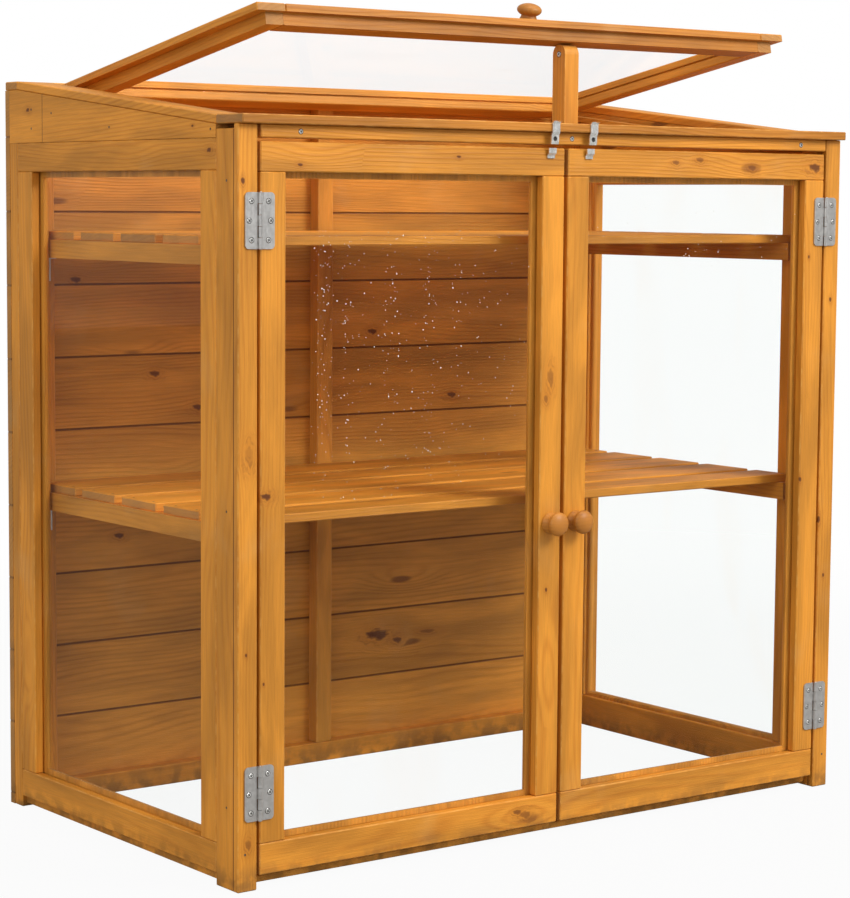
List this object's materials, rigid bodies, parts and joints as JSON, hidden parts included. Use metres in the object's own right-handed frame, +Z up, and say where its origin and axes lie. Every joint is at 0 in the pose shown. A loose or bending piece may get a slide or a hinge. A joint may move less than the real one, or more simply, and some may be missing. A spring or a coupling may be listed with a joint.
{
  "type": "lean-to greenhouse",
  "caption": "Small timber lean-to greenhouse with glazed doors and ends, a boarded back, slatted shelves and a glazed lid propped open.",
  "frame": {"origin": "on the ground, at the middle of the object's box in plan", "axes": "+X to the right as seen from the doors, +Y towards the wall behind, +Z up"},
  "size_m": [1.2, 0.721, 1.303],
  "materials": {
    "pine": "honey stained pine, satin",
    "inner_pine": "honey stained pine, sawn",
    "zinc": "zinc plated steel",
    "glass": "clear glass"
  },
  "bodies": {
    "frame": {"front_post_left": "pine", "front_post_right": "pine", "rear_post_left": "pine", "rear_post_right": "pine", "head_rail": "pine", "front_cap": "pine", "front_sill": "inner_pine", "end_top_rail_left": "pine", "end_top_rail_right": "pine", "end_bottom_rail_left": "pine", "end_bottom_rail_right": "pine", "end_front_stile_left": "pine", "end_front_stile_right": "pine", "end_rear_stile_left": "pine", "end_rear_stile_right": "pine", "end_glass_left": "glass", "end_glass_right": "glass", "gable_left": "pine", "gable_right": "pine", "roof_edge_left": "pine", "roof_edge_right": "pine", "lid_ledger_left": "inner_pine", "lid_ledger_right": "inner_pine", "back_boards": "inner_pine", "back_batten": "inner_pine", "back_bottom_rail": "pine", "rear_cap": "pine", "upper_shelf": "pine", "lower_shelf": "pine", "hinge_top_left_fixed": "zinc", "hinge_top_right_fixed": "zinc", "hinge_bottom_left_fixed": "zinc", "hinge_bottom_right_fixed": "zinc", "catch_plate_left": "zinc", "catch_plate_right": "zinc"},
    "door_left": {"door_top_rail_left": "pine", "door_bottom_rail_left": "pine", "door_hinge_stile_left": "pine", "door_meeting_stile_left": "pine", "door_glass_left": "glass", "door_knob_left": "pine", "hinge_top_left_door": "zinc", "hinge_bottom_left_door": "zinc", "catch_tab_left": "zinc"},
    "door_right": {"door_top_rail_right": "pine", "door_bottom_rail_right": "pine", "door_hinge_stile_right": "pine", "door_meeting_stile_right": "pine", "door_glass_right": "glass", "door_knob_right": "pine", "hinge_top_right_door": "zinc", "hinge_bottom_right_door": "zinc", "catch_tab_right": "zinc"},
    "lid": {"lid_front_rail": "pine", "lid_rear_rail": "pine", "lid_left_rail": "pine", "lid_right_rail": "pine", "lid_glass": "glass", "lid_knob": "pine"},
    "stay": {"lid_stay": "pine"}
  },
  "joints": [
    {"name": "left_door_hinge", "type": "hinge", "parent": "frame", "child": "door_left", "pos_m": [-0.5645, -0.3335, 0.55], "axis": [0, 0, -1], "range_deg": [0, 175]},
    {"name": "right_door_hinge", "type": "hinge", "parent": "frame", "child": "door_right", "pos_m": [0.5645, -0.3335, 0.55], "axis": [0, 0, 1], "range_deg": [0, 175]},
    {"name": "lid_hinge", "type": "hinge", "parent": "frame", "child": "lid", "pos_m": [0, 0.317, 1.18], "axis": [-1, 0, 0], "range_deg": [-16.16, 60]},
    {"name": "stay_pin", "type": "hinge", "parent": "lid", "child": "stay", "pos_m": [0.071, -0.23948, 1.22484], "axis": [-1, 0, 0], "range_deg": [-60, 16.16]}
  ],
  "couplings": [
    {"joint": "stay_pin", "follows": "lid_hinge", "ratio": -1}
  ]
}
